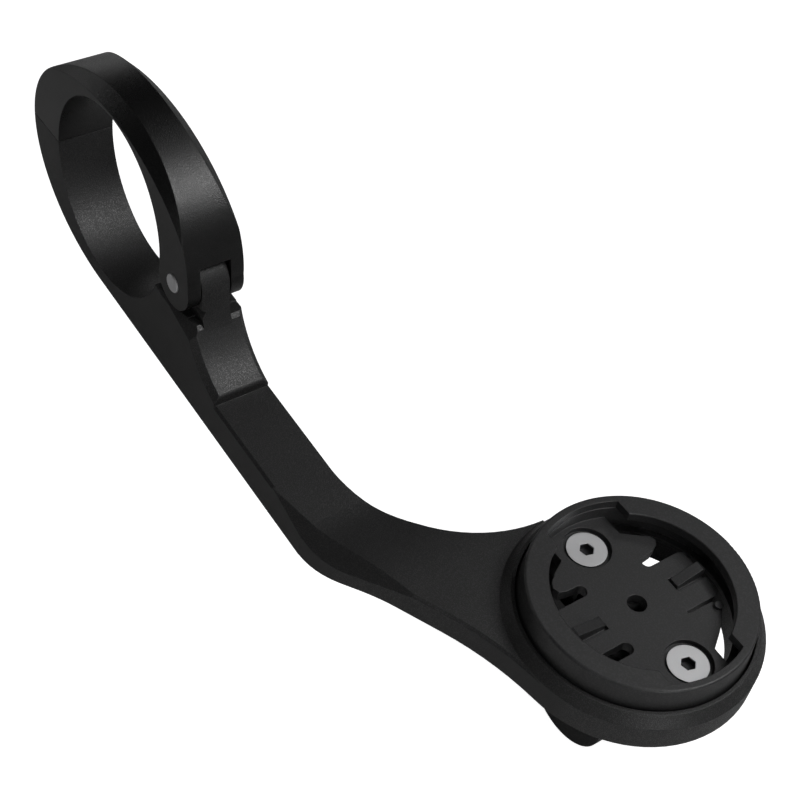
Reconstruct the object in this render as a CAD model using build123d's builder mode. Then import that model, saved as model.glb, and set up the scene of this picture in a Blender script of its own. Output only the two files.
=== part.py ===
from build123d import *
from math import atan, cos, radians, sin, tan
import os

# Out-front mount that carries a cycling computer ahead of a handlebar.
# Origin: centre of the handlebar bore. +X forward to the computer, +Y along the bar, +Z up.

# Handlebar clamp
bar_diameter = 31.8
clamp_width = 9.5
clamp_half_length = 24.1
clamp_half_height = 18.4
split_height = -0.8
split_gap = 0.1
crescent_centre = (-0.7, -4.6)
crescent_half_length = 28.0
crescent_half_height = 20.9
crescent_depth = 2.3

# Hinge at the front of the clamp
hinge_x = 20.0
hinge_z = -0.6
hinge_radius = 4.3
pin_diameter = 3.0
pin_overhang = 0.3
pin_bevel = 0.15
running_clearance = 0.05
slot_width = 5.2
slot_top = 4.1
tongue_width = 4.7

# Clamp screw, M3 x 8 with a cylinder head
screw_x = -19.3
screw_seat = -4.6
screw_length = 8.0
m3_major = 3.0
m3_minor = 2.46
m3_clearance = 0.1
screw_bevel = 0.25
hex_key = 2.5
hex_depth = 1.5
cap_head_diameter = 5.5
cap_head_height = 3.0
cap_head_clearance = 0.15
tap_depth = 6.5

# Arm
arm_slope = -0.061
arm_top_start = -14.5
shoulder_rear = (15.06, -5.1)
shoulder_front = (25.35, -5.8)
body_front = (33.35, -12.9)
body_hollow = (28.6, -10.05)
body_chamfer = 0.95
edge_chamfer = 0.4
roll_radius = 0.9
shoulder_chamfer = 0.5
bend_root = 50.0
far_edge_start = 51.0
far_edge_middle = (67.2, 11.8)
far_edge_end = (73.8, 27.0)
bend_start = 56.9
bend_radius = 22.0
bend_angle = 26.0
bend_end = 80.5
level_start = 74.0
top_handles = (62.0, 66.0)
underside_handles = (64.0, 68.0)
disc_join_angle = 8.2
facet_angle = 51.0
facet_direction = (20, 5.3, 0)
facet_length = 60
facet_width = 30
tongue_foot = -9.0

# Disc that holds the socket
disc_x = 93.3
disc_y = 27.9
disc_radius = 19.07
disc_top = -15.2
disc_bottom = -19.5
bevel_top = -13.4
bevel_radius = 17.86
pocket_radius = 17.3
pocket_floor = -15.6
ring_inner_radius = 14.3
ring_hub_radius = 8.1
lug_width = 7.6

# Quarter-turn socket
socket_top = -9.65
socket_radius = 16.67
socket_base_radius = 17.2
socket_flare = 0.35
flare_height = 1.2
foot_height = 0.6
lip_radius = 13.2
lip_thickness = 1.4
tab_radius = 15.4
floor_top = -13.08
floor_thickness = 1.8
centre_hole_radius = 1.45
socket_screw_reach = 11.1
well_radius = 3.6
well_depth = 0.8
screw_recess = 0.42
rib_height = 1.4
rib_step = 0.35
rib_width = 1.55
rib_left = -0.75
groove_depth = 0.6
groove_left = 0.25
groove_right = 0.55
nub_centre = (6.2, 10.0)
nub_radius = 0.65
nub_height = 0.5
finger_reach = 12.0
outer_rim_radius = 0.35
inner_rim_bevel = 0.12

# Countersunk socket screws, M3 x 10
flat_head_diameter = 6.1
flat_head_height = 1.55
flat_screw_length = 10.0
flat_head_key = 2.0
flat_head_key_depth = 1.2
nut_across_flats = 5.5
nut_height = 2.4

# Accessory bracket under the disc
bracket_plate = 3.0
bracket_end_radius = 5.2
bracket_boss = 4.6
bracket_boss_radius = 4.2
bracket_chamfer = 0.5
finger_radius = 7.5
finger_thickness = 2.9
finger_gap = 3.15
finger_drop = 12.3
finger_hole = 5.0
pivot_nut_flats = 8.0
pivot_nut_height = 4.0
m5_major = 5.0
nut_boss_radius = 6.0
nut_boss_height = 2.6

bar_radius = bar_diameter / 2
half_width = clamp_width / 2
pin_radius = pin_diameter / 2
hinge = (hinge_x, hinge_z)
disc_centre = (disc_x, disc_y)
disc_plane = Plane((disc_x, disc_y, 0))
far = 60  # beyond every surface of the part
cut_depth = 10  # deeper than any wall it is used on
os.makedirs("parts", exist_ok=True)


# The underside leaves the oval where both have the arm's slope.
blend = atan(-clamp_half_height / (clamp_half_length * arm_slope))
blend_point = (-clamp_half_length * cos(blend), -clamp_half_height * sin(blend))


def underside(x):
    """Height of the arm's underside along its straight run."""
    return blend_point[1] + arm_slope * (x - blend_point[0])


def topside(x):
    """Height of the arm's flat top along its straight run."""
    return arm_top_start + arm_slope * (x - body_front[0])


# ---- arm ----
jaw_top = split_height - split_gap / 2
run_end = bend_start + 1.1
bend_tangent = radians(bend_angle)
near_line_start = (
    bend_start + bend_radius * sin(bend_tangent),
    -half_width + bend_radius * (1 - cos(bend_tangent)),
)
near_line_end = (bend_end, near_line_start[1] + (bend_end - near_line_start[0]) * tan(bend_tangent))
near_disc_point = (
    disc_x + disc_radius * sin(radians(disc_join_angle)),
    disc_y - disc_radius * cos(radians(disc_join_angle)),
)

with BuildPart() as bend:
    # Plan outline: the arm swings sideways and runs into the disc. Its top edges are bevelled.
    with BuildSketch(Plane.XY.offset(disc_top - edge_chamfer)) as plan:
        with BuildLine():
            Line((bend_root, -half_width), (bend_start, -half_width))
            CenterArc((bend_start, bend_radius - half_width), bend_radius, -90, bend_angle)
            Line(near_line_start, near_line_end)
            TangentArc(near_line_end, near_disc_point, tangent=(cos(bend_tangent), sin(bend_tangent)))
            Line(near_disc_point, disc_centre)
            Line(disc_centre, far_edge_end)
            ThreePointArc(far_edge_end, far_edge_middle, (far_edge_start, half_width))
            Polyline((far_edge_start, half_width), (bend_root, half_width), (bend_root, -half_width))
        make_face()
        with Locations(disc_centre):
            Circle(disc_radius)
    extrude(amount=-far)
    extrude(plan.sketch, amount=2 * edge_chamfer, taper=45)
    # Side profile: the slope levels out and the arm thins towards the disc.
    with BuildSketch(Plane.XZ):
        with BuildLine():
            Line((bend_root, topside(bend_root)), (run_end, topside(run_end)))
            Bezier(
                (run_end, topside(run_end)), (top_handles[0], topside(top_handles[0])),
                (top_handles[1], disc_top), (level_start, disc_top),
            )
            Polyline(
                (level_start, disc_top), (disc_x + far, disc_top),
                (disc_x + far, disc_bottom), (level_start, disc_bottom),
            )
            Bezier(
                (level_start, disc_bottom), (underside_handles[1], disc_bottom),
                (underside_handles[0], underside(underside_handles[0])), (run_end, underside(run_end)),
            )
            Polyline(
                (run_end, underside(run_end)), (bend_root, underside(bend_root)),
                (bend_root, topside(bend_root)),
            )
        make_face()
    extrude(amount=far, both=True, mode=Mode.INTERSECT)

with BuildPart() as arm:
    # Straight run: lower half of the clamp, raised body and flat top, all one width.
    with BuildSketch(Plane.XZ):
        Ellipse(clamp_half_length, clamp_half_height)
        with BuildLine():
            Polyline(
                blend_point, (run_end, underside(run_end)),
                (run_end, topside(run_end)), (body_front[0], arm_top_start), body_front,
            )
            hollow = ThreePointArc(body_front, body_hollow, shoulder_front)
            Polyline(shoulder_front, (0, shoulder_front[1]), blend_point)
        make_face()
        with BuildLine():
            Polyline(
                (-far, far), (-far, jaw_top), (0, jaw_top), shoulder_rear,
                shoulder_front, (shoulder_front[0], far), close=True,
            )
        make_face(mode=Mode.SUBTRACT)
        Circle(bar_radius, mode=Mode.SUBTRACT)
    extrude(amount=half_width, both=True)

    # Bevels along the raised body, its rolled front end, the shoulders and the flat top
    rims = arm.edges().filter_by(lambda e: abs(abs(e.center().Y) - half_width) < 0.01)
    body_rims = rims.filter_by(GeomType.CIRCLE).filter_by(lambda e: e.center().X > hinge_x)
    chamfer(body_rims, body_chamfer)
    roll = arm.edges().filter_by(Axis.Y).filter_by(
        lambda e: abs(e.center().X - body_front[0]) < 0.1 and e.center().Z > arm_top_start + 0.5
    )
    fillet(roll, roll_radius)
    shoulder_corner = arm.edges().filter_by(Axis.Y).filter_by(
        lambda e: abs(e.center().X - shoulder_front[0]) < 0.1
    )
    chamfer(shoulder_corner, shoulder_chamfer)
    near_rims = arm.edges().filter_by(GeomType.LINE).filter_by(
        lambda e: abs(e.center().Y + half_width) < 0.01
        and (abs(e.center().Z - topside(e.center().X)) < 0.05
             or (16 < e.center().X < 24 and abs(e.center().Z + 5.4) < 0.3))
    )
    chamfer(near_rims, edge_chamfer)

    add(bend.part)

    # Tongue that fills the slot between the cap's ears
    with BuildSketch(Plane.XZ):
        with Locations(hinge):
            Circle(hinge_radius)
        with BuildLine():
            flare_top = (hinge_x + hinge_radius, hinge_z)
            flare_foot = hollow @ 0.9
            TangentArc(flare_top, flare_foot, tangent=(0, -1))
            Polyline(
                flare_foot, (hinge_x + 3, tongue_foot), (bar_radius, tongue_foot),
                (bar_radius - 0.3, hinge_z), flare_top,
            )
        make_face()
        with Locations(hinge):
            Circle(pin_radius, mode=Mode.SUBTRACT)
        Circle(bar_radius, mode=Mode.SUBTRACT)
    extrude(amount=tongue_width / 2, both=True)

    # Slanted facet on the near shoulder of the bend
    facet_run = Vector(*facet_direction).normalized()
    facet_out = Vector(facet_run.Y, -facet_run.X, 0)
    facet_tilt = radians(facet_angle)
    facet_normal = facet_out * sin(facet_tilt) + Vector(0, 0, cos(facet_tilt))
    facet_corner = (bend_root, -half_width, topside(bend_root))
    with BuildSketch(Plane(facet_corner, x_dir=facet_run, z_dir=facet_normal)):
        Rectangle(facet_length, facet_width)
    extrude(amount=cut_depth, mode=Mode.SUBTRACT)

    # Disc: sharp upper rim, conical bevel, pocket for the socket, open ring and two screw lugs
    with BuildSketch(Plane.XY.offset(disc_bottom)):
        with Locations(disc_centre):
            Circle(disc_radius)
    extrude(amount=disc_top - disc_bottom)
    with BuildSketch(Plane.XY.offset(disc_top)):
        with Locations(disc_centre):
            Circle(disc_radius)
    with BuildSketch(Plane.XY.offset(bevel_top)):
        with Locations(disc_centre):
            Circle(bevel_radius)
    loft()
    with BuildSketch(Plane.XY.offset(pocket_floor)):
        with Locations(disc_centre):
            Circle(pocket_radius)
    extrude(amount=cut_depth, mode=Mode.SUBTRACT)
    with BuildSketch(Plane.XY.offset(disc_bottom)):
        with Locations(disc_centre):
            Circle(ring_inner_radius)
            SlotCenterToCenter(4 * socket_screw_reach, lug_width, mode=Mode.SUBTRACT)
            Circle(ring_hub_radius, mode=Mode.ADD)
            with Locations((-socket_screw_reach, 0), (socket_screw_reach, 0)):
                Circle(lug_width / 2, mode=Mode.SUBTRACT)
    extrude(amount=cut_depth, mode=Mode.SUBTRACT)
    with BuildSketch(Plane.XY.offset(disc_bottom)):
        with Locations((disc_x - socket_screw_reach, disc_y), (disc_x + socket_screw_reach, disc_y)):
            Circle(m3_major / 2 + m3_clearance)
    extrude(amount=cut_depth, mode=Mode.SUBTRACT)

    # Clamp screw: clearance hole and head recess, open to the underside
    with BuildSketch(Plane.XY.offset(screw_seat - 1)):
        with Locations((screw_x, 0)):
            Circle(m3_major / 2 + m3_clearance)
    extrude(amount=jaw_top - screw_seat + 2, mode=Mode.SUBTRACT)
    with BuildSketch(Plane.XY.offset(screw_seat)):
        with Locations((screw_x, 0)):
            Circle(cap_head_diameter / 2 + cap_head_clearance)
    extrude(amount=-12, mode=Mode.SUBTRACT)

arm.part.label = "arm"
export_step(arm.part, "parts/arm.step")

# ---- clamp cap ----
cap_bottom = split_height + split_gap / 2
slot_radius = slot_top - hinge_z
# Both sides narrow towards a flatter oval. Between the two bevels it clears the cap's outer surface.
with BuildPart() as crescent:
    with BuildSketch(Plane.XZ):
        with Locations(crescent_centre):
            Ellipse(crescent_half_length + crescent_depth, crescent_half_height + crescent_depth)
    extrude(amount=half_width - crescent_depth, both=True)
    for end in (1, -1):
        for step in (-crescent_depth, crescent_depth):
            with BuildSketch(Plane.XZ.offset(end * (half_width + step))):
                with Locations(crescent_centre):
                    Ellipse(crescent_half_length - step, crescent_half_height - step)
        loft()

with BuildPart() as clamp_cap:
    with BuildSketch(Plane.XZ):
        Ellipse(clamp_half_length, clamp_half_height)
        with Locations((-far / 2, cap_bottom - far / 2), (far / 2, hinge_z - far / 2)):
            Rectangle(far, far, mode=Mode.SUBTRACT)
        with Locations(hinge):
            Circle(hinge_radius)
        Circle(bar_radius, mode=Mode.SUBTRACT)
        with Locations(hinge):
            Circle(pin_radius + running_clearance, mode=Mode.SUBTRACT)
    extrude(amount=half_width, both=True)
    # Crescent bevels on both sides
    add(crescent.part, mode=Mode.INTERSECT)
    # Slot for the tongue
    with BuildSketch(Plane.XZ):
        with Locations(hinge):
            Circle(slot_radius)
        with Locations((hinge_x + 5, slot_top - 6)):
            Rectangle(10, 12)
    extrude(amount=slot_width / 2, both=True, mode=Mode.SUBTRACT)
    # Tapped hole for the clamp screw
    with BuildSketch(Plane.XY.offset(cap_bottom - 1)):
        with Locations((screw_x, 0)):
            Circle(m3_major / 2)
    extrude(amount=1 + tap_depth, mode=Mode.SUBTRACT)
clamp_cap.part.label = "clamp_cap"
export_step(clamp_cap.part, "parts/clamp_cap.step")

# ---- hinge pin ----
pin_half_length = half_width + pin_overhang
with BuildPart() as hinge_pin:
    with BuildSketch(Plane.XZ):
        with Locations(hinge):
            Circle(pin_radius)
    extrude(amount=pin_half_length, both=True)
    chamfer(hinge_pin.edges().filter_by(GeomType.CIRCLE), pin_bevel)
hinge_pin.part.label = "hinge_pin"
export_step(hinge_pin.part, "parts/hinge_pin.step")

# ---- clamp screw ----
with BuildPart() as clamp_screw:
    with BuildSketch(Plane.XY.offset(screw_seat)):
        with Locations((screw_x, 0)):
            Circle(cap_head_diameter / 2)
    extrude(amount=-cap_head_height)
    head_rims = clamp_screw.edges().filter_by(GeomType.CIRCLE).group_by(Axis.Z)[0]
    chamfer(head_rims, screw_bevel)
    with BuildSketch(Plane.XY.offset(screw_seat)):
        with Locations((screw_x, 0)):
            Circle(m3_major / 2)
    extrude(amount=jaw_top - screw_seat)
    with BuildSketch(Plane.XY.offset(jaw_top)):
        with Locations((screw_x, 0)):
            Circle(m3_minor / 2)
    extrude(amount=screw_length - (jaw_top - screw_seat))
    with BuildSketch(Plane.XY.offset(screw_seat - cap_head_height)):
        with Locations((screw_x, 0)):
            RegularPolygon(hex_key / 2, 6, major_radius=False)
    extrude(amount=hex_depth, mode=Mode.SUBTRACT)
clamp_screw.part.label = "clamp_screw"
export_step(clamp_screw.part, "parts/clamp_screw.step")

# ---- quarter-turn socket ----
# Plan outlines below are measured from the disc's centre.
floor_plane = disc_plane.offset(floor_top)
screw_spots = [(-socket_screw_reach, 0), (socket_screw_reach, 0)]
# The heads stand proud of their wells, so the countersink meets them part way down the cone.
cone_radius = flat_head_diameter / 2 - (well_depth - screw_recess)

with BuildPart() as quarter_turn_socket:
    # Wall with the lip, the tab track below it and the foot that sits in the pocket
    with BuildSketch(Plane.XZ.offset(-disc_y)):
        with BuildLine():
            Polyline(
                (disc_x + lip_radius, socket_top - lip_thickness),
                (disc_x + lip_radius, socket_top),
                (disc_x + socket_radius, socket_top),
                (disc_x + socket_radius + socket_flare, disc_top + flare_height),
                (disc_x + socket_base_radius, disc_top + foot_height),
                (disc_x + socket_base_radius, pocket_floor),
                (disc_x + ring_inner_radius, pocket_floor),
                (disc_x + ring_inner_radius, floor_top - floor_thickness),
                (disc_x + tab_radius, floor_top - floor_thickness),
                (disc_x + tab_radius, socket_top - lip_thickness),
                close=True,
            )
        make_face()
    revolve(axis=Axis((disc_x, disc_y, 0), (0, 0, 1)))
    top_rim = quarter_turn_socket.edges().filter_by(GeomType.CIRCLE).group_by(Axis.Z)[-1]
    fillet(top_rim.sort_by(SortBy.RADIUS)[-1:], outer_rim_radius)
    top_rim = quarter_turn_socket.edges().filter_by(GeomType.CIRCLE).group_by(Axis.Z)[-1]
    chamfer(top_rim.sort_by(SortBy.RADIUS)[:1], inner_rim_bevel)

    # Entry notches for the two tabs
    with BuildSketch(disc_plane.offset(socket_top - lip_thickness)):
        with BuildLine():
            Polyline((-16.2, -6.0), (-10.5, -6.0), (-9.0, 7.0), (-16.2, 7.0), close=True)
        make_face()
        with BuildLine():
            Polyline((16.2, 6.0), (10.5, 6.0), (9.0, -7.0), (16.2, -7.0), close=True)
        make_face()
        Circle(tab_radius + 0.1, mode=Mode.INTERSECT)
    extrude(amount=3, mode=Mode.SUBTRACT)

    # Floor with sprung fingers, lobes and slots
    with BuildSketch(floor_plane):
        Circle(tab_radius + 0.2)
        with BuildLine():
            Polyline(
                (-14.3, 5.85), (-10.8, 5.9), (-9.1, 8.2), (-8.2, 9.6), (-7.3, 9.85), (-6.5, 9.2),
                (-6.0, 8.0), (-5.8, 6.2),
            )
            ThreePointArc((-5.8, 6.2), (-4.9, 5.3), (-4.0, 6.2))
            Polyline(
                (-4.0, 6.2), (-4.0, 11.2), (-3.6, finger_reach), (3.8, finger_reach), (4.55, 11.0),
                (4.55, 5.4), (5.0, 5.4), (5.1, 9.6), (5.8, 10.4), (6.6, 10.3), (8.6, 8.5), (9.8, 6.9),
                (11.3, 4.7), (14.6, 4.6),
            )
            ThreePointArc((14.6, 4.6), (0, tab_radius), (-14.3, 5.85))
        make_face(mode=Mode.SUBTRACT)
        with BuildLine():
            Polyline(
                (-14.6, -4.85), (-11.1, -4.85), (-9.8, -7.15), (-8.8, -8.45), (-7.9, -8.95),
                (-6.9, -8.65), (-6.5, -7.4), (-6.5, -5.85),
            )
            ThreePointArc((-6.5, -5.85), (-5.55, -4.9), (-4.6, -5.85))
            Polyline((-4.6, -5.85), (-4.6, -finger_reach), (4.1, -finger_reach), (4.1, -6.3))
            ThreePointArc((4.1, -6.3), (5.1, -5.3), (6.1, -6.3))
            Line((6.1, -6.3), (6.1, -14.1))
            ThreePointArc((6.1, -14.1), (-6.2, -14.1), (-14.6, -4.85))
        make_face(mode=Mode.SUBTRACT)
        Circle(centre_hole_radius, mode=Mode.SUBTRACT)
    extrude(amount=-floor_thickness)

    # Screw bosses, wells and countersinks
    with BuildSketch(floor_plane.offset(-floor_thickness)):
        with Locations(*screw_spots):
            Circle(well_radius)
        Circle(ring_inner_radius - 0.05, mode=Mode.INTERSECT)
    extrude(amount=pocket_floor - floor_top + floor_thickness)
    with BuildSketch(floor_plane):
        with Locations(*screw_spots):
            Circle(well_radius)
        Circle(tab_radius - 0.3, mode=Mode.INTERSECT)
    extrude(amount=-well_depth, mode=Mode.SUBTRACT)
    with Locations(*[floor_plane.offset(-well_depth) * Pos(x, y, 0) for x, y in screw_spots]):
        CounterSinkHole(
            m3_major / 2 + running_clearance, cone_radius + running_clearance,
            depth=5, counter_sink_angle=90,
        )

    # Nub at the tip of the lobe beside the sprung finger
    with BuildSketch(floor_plane.offset(-floor_thickness)):
        with Locations(nub_centre):
            Circle(nub_radius)
    extrude(amount=floor_thickness + nub_height)

    # Detent ribs on the two sprung fingers: each rises outward from a groove round its foot
    groove_width = groove_left + rib_width + groove_right
    groove_middle = rib_left - groove_left + groove_width / 2
    for side, base in ((1, 6.9), (-1, 6.6)):
        groove_length = finger_reach + 1 - (base - groove_left)
        with BuildSketch(floor_plane):
            with Locations((groove_middle, side * (finger_reach + 1 - groove_length / 2))):
                Rectangle(groove_width, groove_length)
        extrude(amount=-groove_depth, mode=Mode.SUBTRACT)
        with BuildSketch(Plane.YZ.offset(disc_x + rib_left)):
            with BuildLine():
                Polyline(
                    (disc_y + side * base, floor_top - groove_depth),
                    (disc_y + side * base, floor_top + rib_step),
                    (disc_y + side * (finger_reach - 0.5), floor_top + rib_height),
                    (disc_y + side * finger_reach, floor_top + rib_height - 0.3),
                    (disc_y + side * finger_reach, floor_top - groove_depth), close=True,
                )
            make_face()
        extrude(amount=rib_width)
quarter_turn_socket.part.label = "quarter_turn_socket"
export_step(quarter_turn_socket.part, "parts/quarter_turn_socket.step")

# ---- countersunk screws and their nuts ----
flat_head_top = floor_top - screw_recess
flat_tip = flat_head_top - flat_screw_length
plate_bottom = disc_bottom - bracket_plate
boss_end = disc_bottom - bracket_boss
for place, spot in (("rear", -socket_screw_reach), ("front", socket_screw_reach)):
    spot_plane = Plane((disc_x + spot, disc_y, 0))
    with BuildPart() as socket_screw:
        with BuildSketch(spot_plane.offset(flat_tip)):
            Circle(m3_major / 2)
        extrude(amount=flat_screw_length)
        with BuildSketch(spot_plane.offset(flat_head_top - flat_head_height)):
            Circle(m3_major / 2)
        with BuildSketch(spot_plane.offset(flat_head_top)):
            Circle(flat_head_diameter / 2)
        loft()
        with BuildSketch(spot_plane.offset(flat_head_top)):
            RegularPolygon(flat_head_key / 2, 6, major_radius=False, rotation=15)
        extrude(amount=-flat_head_key_depth, mode=Mode.SUBTRACT)
    socket_screw.part.label = f"socket_screw_{place}"
    export_step(socket_screw.part, f"parts/socket_screw_{place}.step")

    with BuildPart() as plate_nut:
        with BuildSketch(spot_plane.offset(boss_end)):
            RegularPolygon(nut_across_flats / 2, 6, major_radius=False)
            Circle(m3_major / 2, mode=Mode.SUBTRACT)
        extrude(amount=nut_height)
    plate_nut.part.label = f"plate_nut_{place}"
    export_step(plate_nut.part, f"parts/plate_nut_{place}.step")

# ---- accessory bracket ----
finger_z = disc_bottom - finger_drop
finger_pitch = finger_thickness + finger_gap
with BuildPart() as accessory_bracket:
    with BuildSketch(disc_plane.offset(disc_bottom)):
        SlotCenterToCenter(2 * socket_screw_reach, 2 * bracket_end_radius)
        Rectangle(2 * finger_radius, 2 * finger_radius)
    extrude(amount=-bracket_plate)
    chamfer(accessory_bracket.edges().group_by(Axis.Z)[0], bracket_chamfer)
    with BuildSketch(disc_plane.offset(plate_bottom)):
        with Locations(*screw_spots):
            Circle(bracket_boss_radius)
    extrude(amount=boss_end - plate_bottom)
    for side in (-1, 0, 1):
        with BuildSketch(Plane.XZ.offset(-disc_y - side * finger_pitch)):
            with Locations((disc_x, finger_z)):
                Circle(finger_radius)
            with Locations((disc_x, (finger_z + disc_bottom - 1) / 2)):
                Rectangle(2 * finger_radius, disc_bottom - 1 - finger_z)
        extrude(amount=finger_thickness / 2, both=True)
    # Boss that holds the captive nut, on the far side
    boss_face = disc_y + finger_pitch + finger_thickness / 2
    with BuildSketch(Plane.XZ.offset(-boss_face)):
        with Locations((disc_x, finger_z)):
            Circle(nut_boss_radius)
    extrude(amount=-nut_boss_height)
    nut_face = boss_face + nut_boss_height
    with BuildSketch(Plane.XZ.offset(-nut_face)):
        with Locations((disc_x, finger_z)):
            RegularPolygon(pivot_nut_flats / 2, 6, major_radius=False)
    extrude(amount=pivot_nut_height, mode=Mode.SUBTRACT)
    with BuildSketch(Plane.XZ.offset(-disc_y)):
        with Locations((disc_x, finger_z)):
            Circle(finger_hole / 2)
    extrude(amount=far, both=True, mode=Mode.SUBTRACT)
    # Screw holes and nut pockets
    with BuildSketch(disc_plane.offset(disc_bottom)):
        with Locations(*screw_spots):
            Circle(m3_major / 2 + m3_clearance)
    extrude(amount=-cut_depth, mode=Mode.SUBTRACT)
    with BuildSketch(disc_plane.offset(boss_end)):
        with Locations(*screw_spots):
            RegularPolygon(nut_across_flats / 2, 6, major_radius=False)
    extrude(amount=nut_height, mode=Mode.SUBTRACT)
accessory_bracket.part.label = "accessory_bracket"
export_step(accessory_bracket.part, "parts/accessory_bracket.step")

# ---- captive pivot nut ----
with BuildPart() as pivot_nut:
    with BuildSketch(Plane.XZ.offset(-nut_face)):
        with Locations((disc_x, finger_z)):
            RegularPolygon(pivot_nut_flats / 2, 6, major_radius=False)
            Circle(m5_major / 2, mode=Mode.SUBTRACT)
    extrude(amount=pivot_nut_height)
pivot_nut.part.label = "pivot_nut"
export_step(pivot_nut.part, "parts/pivot_nut.step")
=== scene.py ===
from math import radians

import bpy
from mathutils import Euler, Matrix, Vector


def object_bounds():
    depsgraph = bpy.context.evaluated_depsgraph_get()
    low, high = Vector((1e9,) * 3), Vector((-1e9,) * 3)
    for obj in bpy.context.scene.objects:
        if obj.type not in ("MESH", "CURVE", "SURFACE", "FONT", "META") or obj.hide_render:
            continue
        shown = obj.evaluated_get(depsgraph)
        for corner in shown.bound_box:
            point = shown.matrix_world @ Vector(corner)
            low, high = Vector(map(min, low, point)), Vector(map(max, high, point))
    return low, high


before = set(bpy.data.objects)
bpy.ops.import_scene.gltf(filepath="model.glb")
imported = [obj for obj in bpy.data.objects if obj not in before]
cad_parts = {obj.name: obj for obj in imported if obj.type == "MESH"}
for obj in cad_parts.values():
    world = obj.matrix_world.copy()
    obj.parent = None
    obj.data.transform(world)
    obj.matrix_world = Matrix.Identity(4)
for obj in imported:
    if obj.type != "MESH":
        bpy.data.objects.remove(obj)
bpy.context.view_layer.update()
print("frame loaded:", len(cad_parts), "nodes")

mm = 0.001
white = (1.0, 1.0, 1.0, 1.0)

# Values inside the shared effects; noise runs from 0 to 1, and a Start may be above its Full
grainValues = {
    "fineDetail": 1.0, "fineShare": 0.85,
    "coarseScale": 0.37, "coarseDetail": 2.0, "coarseShare": 0.15,
    "speckleStart": 0.51, "speckleFull": 0.59,
}
edgeValues = {"samples": 6, "maskStart": 0.99, "maskFull": 0.86}
handlingValues = {
    "cloudScale": 75.0, "cloudDetail": 4.0,
    "streakTurn": (0.3, 0.2, 0.5), "streakStretch": (90.0, 1900.0, 1900.0),
    "streakScale": 1.0, "streakDetail": 2.0, "streakStart": 0.62, "streakFull": 0.74,
    "patchStart": 0.48, "patchFull": 0.7,
}
sideValues = {"fadeStart": 0.90, "fadeFull": 0.98}
# The part of the cloud noise that roughness follows, and the depth over which the painted recess shade
# fades in
roughStart, roughFull = 0.3, 0.7
recessShadeFade = 0.3 * mm


def newGroup(name, inputs, outputs):
    # inputs and outputs are (name, socket type, default) and (name, socket type)
    group = bpy.data.node_groups.new(name, "ShaderNodeTree")
    for label, kind, default in inputs:
        socket = group.interface.new_socket(label, in_out="INPUT", socket_type=kind)
        if default is not None:
            socket.default_value = default
    for label, kind in outputs:
        group.interface.new_socket(label, in_out="OUTPUT", socket_type=kind)
    return group, group.nodes.new("NodeGroupInput"), group.nodes.new("NodeGroupOutput")


def mathNode(tree, operation, first, second=None):
    node = tree.nodes.new("ShaderNodeMath")
    node.operation = operation
    for socket, value in zip(node.inputs, (first, second)):
        if value is None:
            continue
        if isinstance(value, (int, float)):
            socket.default_value = value
        else:
            tree.links.new(value, socket)
    return node.outputs[0]


def rangeNode(tree, value, fromMin, fromMax, toMin=0.0, toMax=1.0):
    node = tree.nodes.new("ShaderNodeMapRange")
    node.interpolation_type = "SMOOTHSTEP"
    tree.links.new(value, node.inputs["Value"])
    limits = {"From Min": fromMin, "From Max": fromMax, "To Min": toMin, "To Max": toMax}
    for label, number in limits.items():
        node.inputs[label].default_value = number
    return node.outputs["Result"]


def noiseNode(tree, vector, scale, detail):
    node = tree.nodes.new("ShaderNodeTexNoise")
    node.inputs["Detail"].default_value = detail
    tree.links.new(vector, node.inputs["Vector"])
    if isinstance(scale, (int, float)):
        node.inputs["Scale"].default_value = scale
    else:
        tree.links.new(scale, node.inputs["Scale"])
    return node.outputs["Fac"]


# Fine pitted surface, as bead blasting or a spark-eroded mould leaves it
def buildGrain():
    group, given, out = newGroup(
        "surfaceGrain",
        (("Vector", "NodeSocketVector", None), ("Scale", "NodeSocketFloat", 5000.0)),
        (("Height", "NodeSocketFloat"), ("Speckle", "NodeSocketFloat")),
    )
    values = grainValues
    vector, scale = given.outputs["Vector"], given.outputs["Scale"]
    fine = noiseNode(group, vector, scale, values["fineDetail"])
    coarseScale = mathNode(group, "MULTIPLY", scale, values["coarseScale"])
    coarse = noiseNode(group, vector, coarseScale, values["coarseDetail"])
    finePart = mathNode(group, "MULTIPLY", fine, values["fineShare"])
    coarsePart = mathNode(group, "MULTIPLY", coarse, values["coarseShare"])
    height = mathNode(group, "ADD", finePart, coarsePart)
    speckle = rangeNode(group, height, values["speckleStart"], values["speckleFull"])
    group.links.new(height, out.inputs["Height"])
    group.links.new(speckle, out.inputs["Speckle"])
    return group


# Rounded edges for the light to catch, and a mask of them for the lighter edge colour, which is partly
# wear and partly painted highlight
def buildEdges():
    group, given, out = newGroup(
        "softEdges",
        (("Radius", "NodeSocketFloat", 0.0003),),
        (("Normal", "NodeSocketVector"), ("Mask", "NodeSocketFloat")),
    )
    bevel = group.nodes.new("ShaderNodeBevel")
    bevel.samples = edgeValues["samples"]
    group.links.new(given.outputs["Radius"], bevel.inputs["Radius"])
    geometry = group.nodes.new("ShaderNodeNewGeometry")
    dot = group.nodes.new("ShaderNodeVectorMath")
    dot.operation = "DOT_PRODUCT"
    group.links.new(bevel.outputs["Normal"], dot.inputs[0])
    group.links.new(geometry.outputs["Normal"], dot.inputs[1])
    mask = rangeNode(group, dot.outputs["Value"], edgeValues["maskStart"], edgeValues["maskFull"])
    group.links.new(bevel.outputs["Normal"], out.inputs["Normal"])
    group.links.new(mask, out.inputs["Mask"])
    return group


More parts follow.
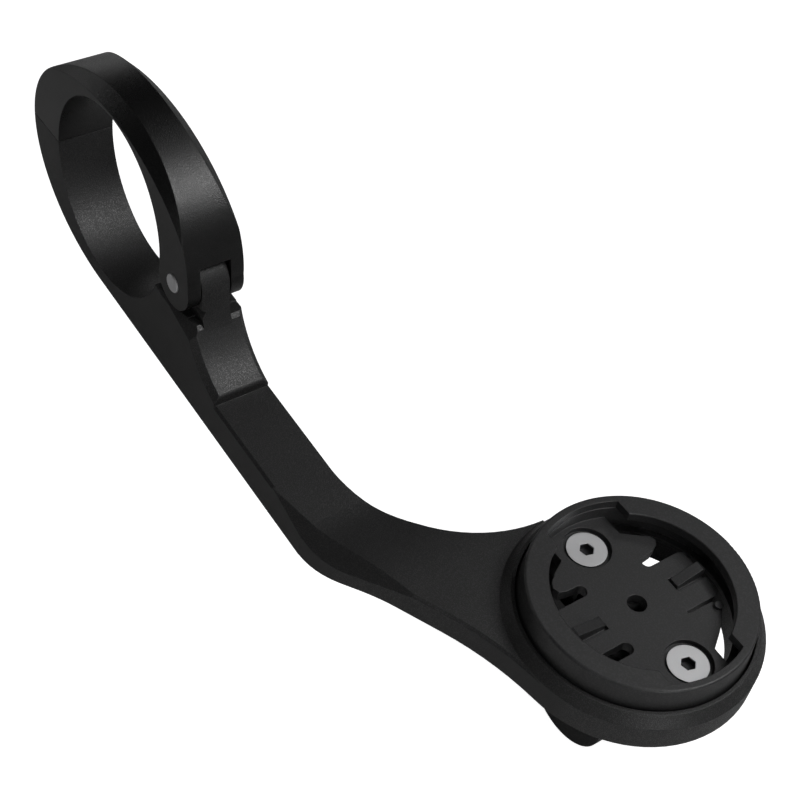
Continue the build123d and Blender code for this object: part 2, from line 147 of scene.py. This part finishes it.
# Slow unevenness and faint rub marks from handling
def buildHandling():
    group, given, out = newGroup(
        "handlingMarks",
        (("Vector", "NodeSocketVector", None),),
        (("Cloud", "NodeSocketFloat"), ("Rub", "NodeSocketFloat")),
    )
    values = handlingValues
    cloud = noiseNode(group, given.outputs["Vector"], values["cloudScale"], values["cloudDetail"])
    stretch = group.nodes.new("ShaderNodeMapping")
    stretch.inputs["Rotation"].default_value = values["streakTurn"]
    stretch.inputs["Scale"].default_value = values["streakStretch"]
    group.links.new(given.outputs["Vector"], stretch.inputs["Vector"])
    streak = noiseNode(group, stretch.outputs["Vector"], values["streakScale"], values["streakDetail"])
    streaks = rangeNode(group, streak, values["streakStart"], values["streakFull"])
    patches = rangeNode(group, cloud, values["patchStart"], values["patchFull"])
    rub = mathNode(group, "MULTIPLY", streaks, patches)
    group.links.new(cloud, out.inputs["Cloud"])
    group.links.new(rub, out.inputs["Rub"])
    return group


# The two flat sides are machined smooth: blasting fades where a face looks along the handlebar
def buildSideFade():
    group, given, out = newGroup(
        "smoothSides",
        (("Amount", "NodeSocketFloat", 1.0),),
        (("Blast", "NodeSocketFloat"),),
    )
    parts = group.nodes.new("ShaderNodeSeparateXYZ")
    geometry = group.nodes.new("ShaderNodeNewGeometry")
    group.links.new(geometry.outputs["Normal"], parts.inputs[0])
    facing = mathNode(group, "ABSOLUTE", parts.outputs["Y"])
    sideways = rangeNode(group, facing, sideValues["fadeStart"], sideValues["fadeFull"])
    fade = mathNode(group, "MULTIPLY", sideways, given.outputs["Amount"])
    group.links.new(mathNode(group, "SUBTRACT", 1.0, fade), out.inputs["Blast"])
    return group


grainGroup = buildGrain()
sideGroup = buildSideFade()
edgeGroup = buildEdges()
handlingGroup = buildHandling()


def placeGroup(tree, group, **values):
    node = tree.nodes.new("ShaderNodeGroup")
    node.node_tree = group
    for label, value in values.items():
        if isinstance(value, (int, float)):
            node.inputs[label].default_value = value
        else:
            tree.links.new(value, node.inputs[label])
    return node


def mixColour(tree, factor, first, second):
    node = tree.nodes.new("ShaderNodeMix")
    node.data_type = "RGBA"
    tree.links.new(factor, node.inputs["Factor"])
    for label, value in (("A", first), ("B", second)):
        socket = [s for s in node.inputs if s.name == label and s.type == "RGBA"][0]
        if isinstance(value, tuple):
            socket.default_value = (*value, 1.0)
        else:
            tree.links.new(value, socket)
    return [s for s in node.outputs if s.type == "RGBA"][0]


# Painted shade: the key socket of a screw is painted darker than the flat top of its head, in place of
# the shade inside the recess
def paintRecessShade(tree, place, look, colour):
    parts = tree.nodes.new("ShaderNodeSeparateXYZ")
    tree.links.new(place, parts.inputs[0])
    height, top, floor = parts.outputs["Z"], look["recessTop"], look["recessFloor"]
    underTop = rangeNode(tree, height, top - recessShadeFade, top, 1.0, 0.0)
    aboveFloor = rangeNode(tree, height, floor - recessShadeFade, floor)
    recessShadeMask = mathNode(tree, "MULTIPLY", underTop, aboveFloor)
    return mixColour(tree, recessShadeMask, colour, look["recessShadeColour"])


# One finish: colour, grain, soft edges with their lighter rims of wear and painted highlight, handling
# marks and any painted recess shade, from a dictionary of its values
def buildSurface(name, look):
    material = bpy.data.materials.new(name)
    material.use_nodes = True
    tree = material.node_tree
    shader = tree.nodes["Principled BSDF"]
    place = tree.nodes.new("ShaderNodeTexCoord").outputs["Object"]
    grain = placeGroup(tree, grainGroup, Vector=place, Scale=look["grainScale"])
    edges = placeGroup(tree, edgeGroup, Radius=look["edgeRadius"])
    marks = placeGroup(tree, handlingGroup, Vector=place)
    blast = placeGroup(tree, sideGroup, Amount=look["smoothSides"]).outputs["Blast"]
    speckle = mathNode(tree, "MULTIPLY", grain.outputs["Speckle"], blast)
    height = mathNode(tree, "MULTIPLY", grain.outputs["Height"], blast)

    colour = mixColour(tree, marks.outputs["Cloud"], look["dark"], look["light"])
    colour = mixColour(tree, speckle, colour, look["speckle"])
    # Lighter edges: partly real wear, partly a painted highlight along the edges
    wearAndSheenMask = mathNode(tree, "MULTIPLY", edges.outputs["Mask"], look["wearAndSheenAmount"])
    colour = mixColour(tree, wearAndSheenMask, colour, look["wearAndSheenColour"])
    # Painted shade darkens the colour inside a screw's key socket
    if "recessTop" in look:
        colour = paintRecessShade(tree, place, look, colour)
    tree.links.new(colour, shader.inputs["Base Color"])

    cloud, low, high = marks.outputs["Cloud"], look["roughLow"], look["roughHigh"]
    rough = rangeNode(tree, cloud, roughStart, roughFull, low, high)
    rubbed = mathNode(tree, "MULTIPLY", marks.outputs["Rub"], look["rubShine"])
    rough = mathNode(tree, "SUBTRACT", rough, rubbed)
    glints = mathNode(tree, "MULTIPLY", speckle, look["glint"])
    rough = mathNode(tree, "SUBTRACT", rough, glints)
    tree.links.new(rough, shader.inputs["Roughness"])

    bump = tree.nodes.new("ShaderNodeBump")
    bump.inputs["Strength"].default_value = look["bumpStrength"]
    bump.inputs["Distance"].default_value = look["bumpDepth"]
    tree.links.new(height, bump.inputs["Height"])
    tree.links.new(edges.outputs["Normal"], bump.inputs["Normal"])
    tree.links.new(bump.outputs["Normal"], shader.inputs["Normal"])
    shader.inputs["Metallic"].default_value = look["metallic"]
    shader.inputs["Specular IOR Level"].default_value = look["specular"]
    return material


blastedArm = {
    "dark": (0.0020, 0.0020, 0.0022), "light": (0.0028, 0.0028, 0.0030),
    "speckle": (0.0220, 0.0220, 0.0224), "wearAndSheenColour": (0.0080, 0.0080, 0.0082),
    "wearAndSheenAmount": 0.30, "edgeRadius": 0.16 * mm,
    "roughLow": 0.52, "roughHigh": 0.57, "rubShine": 0.04, "glint": 0.17, "smoothSides": 0.95,
    "grainScale": 6400.0, "bumpStrength": 1.0, "bumpDepth": 0.05 * mm,
    "metallic": 0.0, "specular": 0.85,
}
satinCap = dict(blastedArm, dark=(0.0012, 0.0012, 0.0013), light=(0.0017, 0.0017, 0.0018),
                speckle=(0.0080, 0.0080, 0.0082), roughLow=0.37, roughHigh=0.40, rubShine=0.0,
                glint=0.10, bumpStrength=0.8, bumpDepth=0.045 * mm, specular=0.62)
socketNylon = {
    "dark": (0.0165, 0.0165, 0.0172), "light": (0.0215, 0.0215, 0.0224),
    "speckle": (0.0290, 0.0290, 0.0300), "wearAndSheenColour": (0.0620, 0.0620, 0.0630),
    "wearAndSheenAmount": 0.40, "edgeRadius": 0.14 * mm,
    "roughLow": 0.44, "roughHigh": 0.52, "rubShine": 0.06, "glint": 0.04, "smoothSides": 0.0,
    "grainScale": 4200.0, "bumpStrength": 0.30, "bumpDepth": 0.03 * mm,
    "metallic": 0.0, "specular": 0.80,
}
bracketNylon = dict(socketNylon, dark=(0.0150, 0.0150, 0.0157), light=(0.0200, 0.0200, 0.0209),
                    grainScale=2800.0, roughLow=0.46, roughHigh=0.56)
brightSteel = {
    "dark": (0.86, 0.86, 0.87), "light": (0.93, 0.93, 0.94),
    "speckle": (0.90, 0.90, 0.91), "wearAndSheenColour": (0.96, 0.96, 0.97),
    "wearAndSheenAmount": 0.6, "edgeRadius": 0.08 * mm,
    "roughLow": 0.44, "roughHigh": 0.54, "rubShine": 0.08, "glint": 0.0, "smoothSides": 0.0,
    "grainScale": 6000.0, "bumpStrength": 0.02, "bumpDepth": 0.01 * mm,
    "metallic": 1.0, "specular": 0.5,
}
# Both recess heights are in the frame, at rest; between them the key socket gets painted shade
screwSteel = dict(brightSteel, recessTop=-13.55 * mm, recessFloor=-14.75 * mm,
                  recessShadeColour=(0.10, 0.10, 0.105))
pinSteel = dict(brightSteel, dark=(0.66, 0.66, 0.67), light=(0.74, 0.74, 0.75),
                speckle=(0.70, 0.70, 0.71), wearAndSheenColour=(0.84, 0.84, 0.85))
blackSteel = {
    "dark": (0.015, 0.015, 0.016), "light": (0.024, 0.024, 0.026),
    "speckle": (0.032, 0.032, 0.033), "wearAndSheenColour": (0.120, 0.120, 0.122),
    "wearAndSheenAmount": 0.7, "edgeRadius": 0.10 * mm,
    "roughLow": 0.30, "roughHigh": 0.38, "rubShine": 0.05, "glint": 0.0, "smoothSides": 0.0,
    "grainScale": 5200.0, "bumpStrength": 0.08, "bumpDepth": 0.02 * mm,
    "metallic": 0.55, "specular": 0.5,
}

finishes = {
    "blastedArm": (blastedArm, ("arm",)),
    "satinCap": (satinCap, ("clamp_cap",)),
    "socketNylon": (socketNylon, ("quarter_turn_socket",)),
    "bracketNylon": (bracketNylon, ("accessory_bracket",)),
    "screwSteel": (screwSteel, ("socket_screw_rear", "socket_screw_front")),
    "brightSteel": (brightSteel, ("plate_nut_rear", "plate_nut_front", "pivot_nut")),
    "pinSteel": (pinSteel, ("hinge_pin",)),
    "blackSteel": (blackSteel, ("clamp_screw",)),
}
for name, (look, nodes) in finishes.items():
    finish = buildSurface(name, look)
    for node in nodes:
        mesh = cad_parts[node].data
        mesh.materials.clear()
        mesh.materials.append(finish)
print("finishes set")


studio = {
    "floorSize": 6.0, "floorColour": (0.60, 0.60, 0.60), "floorGlow": 0.95,
    "floorRough": 0.9, "floorSpecular": 0.1,
    "worldSeen": 1.0, "worldLight": 0.01,
    "lamps": {
        # name: place, point aimed at, side in metres, power in watts
        "key": ((0.33, 0.33, 0.67), (0.04, 0.01, 0.0), 0.32, 2.25),
        "back": ((-0.80, 0.36, 0.02), (0.0, 0.0, 0.0), 0.26, 0.18),
        "overhead": ((0.05, -0.30, 1.20), (0.05, 0.0, 0.0), 0.80, 0.96),
        "front": ((0.62, -0.08, 0.22), (0.12, 0.0, -0.04), 0.20, 0.54),
        "fill": ((0.36, -0.60, 0.38), (0.0, 0.0, 0.0), 0.22, 0.21),
        "rear": ((-0.69, -0.36, 0.14), (0.0, 0.0, 0.0), 0.24, 0.18),
        "sky": ((-0.15, 0.63, 0.76), (0.09, 0.03, -0.01), 0.16, 0.28),
    },
}
view = {
    "at": (0.17156, -0.10051, 0.17033),
    "turn": (42.849, -8.326, 54.976),
    "lens": 75.27, "sensor": 36.0, "nearest": 0.01,
}


def addFloor():
    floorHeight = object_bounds()[0][2]
    bpy.ops.mesh.primitive_plane_add(size=studio["floorSize"], location=(0, 0, floorHeight))
    floor = bpy.context.object
    floor.name = "studioFloor"
    paint = bpy.data.materials.new("studioFloor")
    paint.use_nodes = True
    shader = paint.node_tree.nodes["Principled BSDF"]
    shader.inputs["Base Color"].default_value = (*studio["floorColour"], 1.0)
    shader.inputs["Roughness"].default_value = studio["floorRough"]
    shader.inputs["Specular IOR Level"].default_value = studio["floorSpecular"]
    # The floor looks evenly lit, but its glow isn't cast on the object
    seen = paint.node_tree.nodes.new("ShaderNodeLightPath").outputs["Is Camera Ray"]
    glow = rangeNode(paint.node_tree, seen, 0.0, 1.0, 0.0, studio["floorGlow"])
    shader.inputs["Emission Color"].default_value = white
    paint.node_tree.links.new(glow, shader.inputs["Emission Strength"])
    floor.data.materials.append(paint)


def addSoftbox(name, place, target, size, power):
    lamp = bpy.data.lights.new(name, "AREA")
    lamp.energy = power
    lamp.shape = "SQUARE"
    lamp.size = size
    holder = bpy.data.objects.new(name, lamp)
    bpy.context.scene.collection.objects.link(holder)
    holder.location = place
    aim = Vector(target) - Vector(place)
    holder.rotation_euler = aim.to_track_quat("-Z", "Y").to_euler()


def addWorld():
    world = bpy.data.worlds.new("studioRoom")
    world.use_nodes = True
    background = world.node_tree.nodes["Background"]
    background.inputs["Color"].default_value = white
    seen = world.node_tree.nodes.new("ShaderNodeLightPath").outputs["Is Camera Ray"]
    strength = rangeNode(world.node_tree, seen, 0.0, 1.0, studio["worldLight"], studio["worldSeen"])
    world.node_tree.links.new(strength, background.inputs["Strength"])
    bpy.context.scene.world = world


def addCamera():
    data = bpy.data.cameras.new("studioCamera")
    data.lens = view["lens"]
    data.sensor_width = view["sensor"]
    data.clip_start = view["nearest"]
    holder = bpy.data.objects.new("studioCamera", data)
    bpy.context.scene.collection.objects.link(holder)
    holder.location = view["at"]
    holder.rotation_euler = Euler([radians(turn) for turn in view["turn"]], "XYZ")
    bpy.context.scene.camera = holder


addFloor()
for name, lampValues in studio["lamps"].items():
    addSoftbox(name, *lampValues)
addWorld()
addCamera()
bpy.context.scene.view_settings.view_transform = "Standard"
print("studio set")
